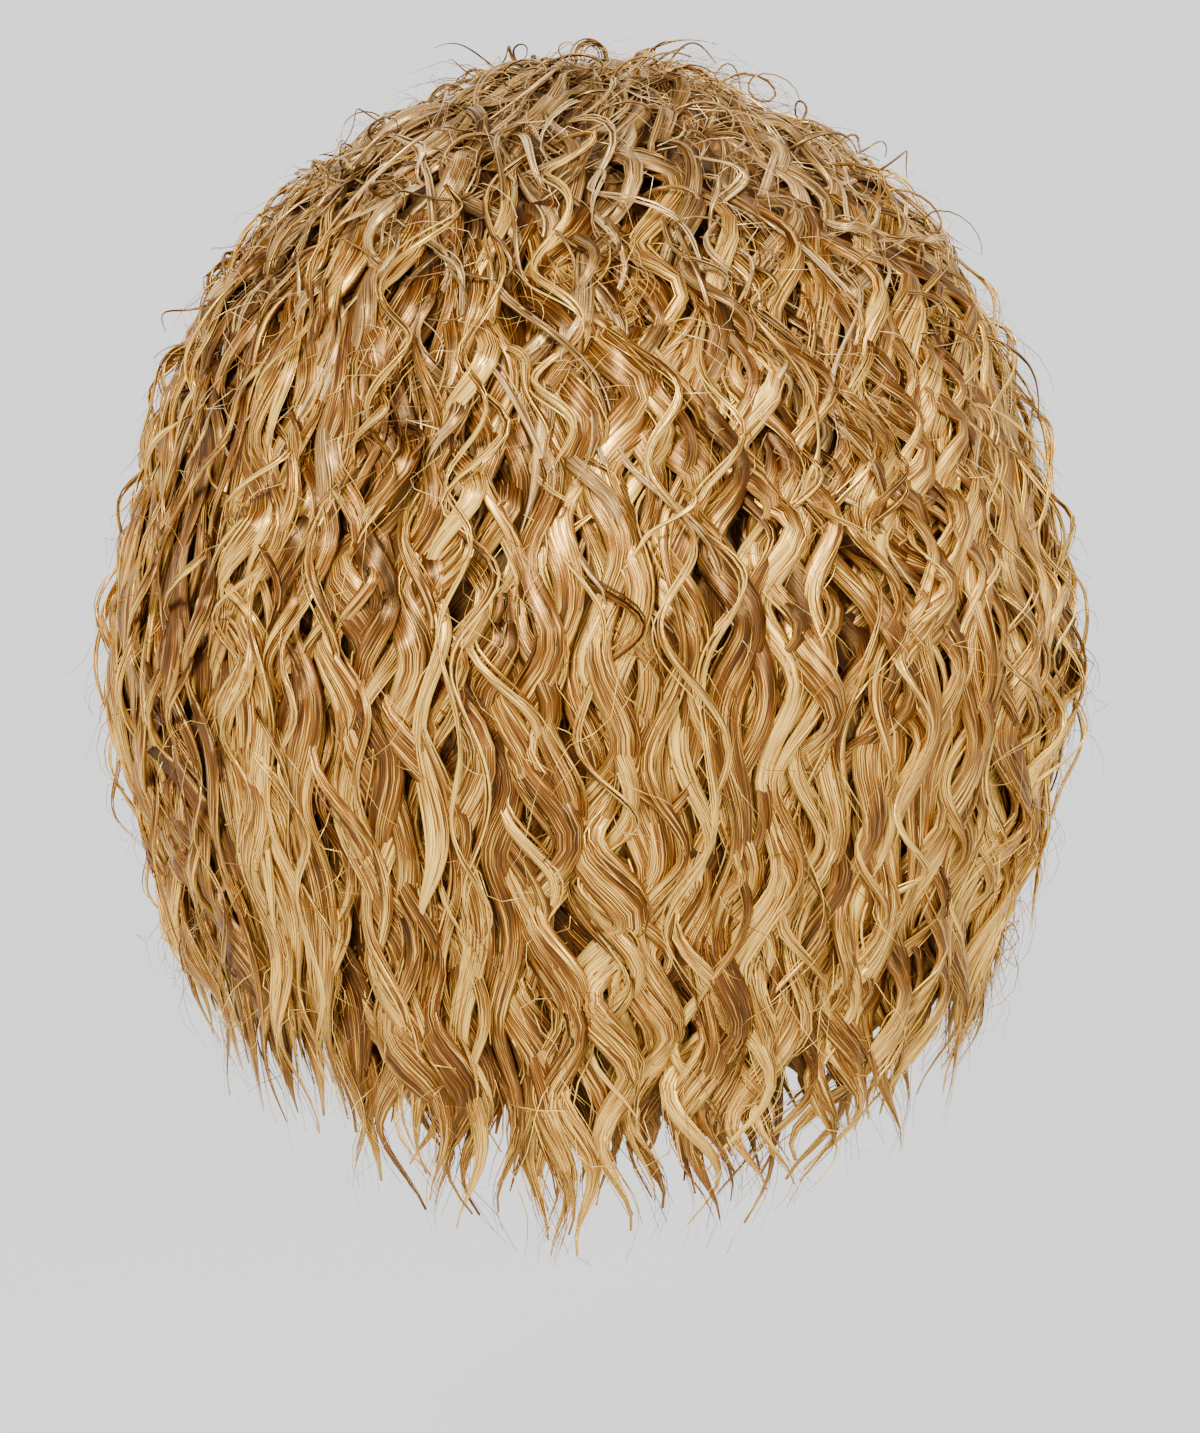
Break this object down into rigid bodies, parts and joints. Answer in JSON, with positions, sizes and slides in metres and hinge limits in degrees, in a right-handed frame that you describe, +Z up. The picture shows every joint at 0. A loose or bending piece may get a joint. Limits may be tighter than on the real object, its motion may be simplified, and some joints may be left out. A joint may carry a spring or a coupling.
{
  "type": "short wavy wig",
  "caption": "Short full wig of waved locks on a stretch cap, open at the face, with long curved back hair and a pointed hem of tips.",
  "frame": {"origin": "inside top of the cap, where the crown of the head sits", "axes": "+Z up out of the crown, the face looks along -Y, the wearer's left side at +X"},
  "size_m": [0.321, 0.2755, 0.386],
  "materials": {
    "cap_net": "fine matte stretch net",
    "crown_locks": "soft glossy fibre, ashy gold",
    "back_locks": "glossy waved fibre, honey gold",
    "side_locks": "glossy waved fibre, honey gold",
    "front_locks": "glossy waved fibre, honey gold",
    "under_locks": "glossy waved fibre, darker brown gold"
  },
  "bodies": {
    "root": {"cap": "cap_net", "crown_hair": "crown_locks", "back_hair": "back_locks", "left_side_hair": "side_locks", "right_side_hair": "side_locks", "left_front_hair": "front_locks", "right_front_hair": "front_locks", "nape_hair": "under_locks", "left_temple_hair": "under_locks", "right_temple_hair": "under_locks"}
  },
  "joints": []
}
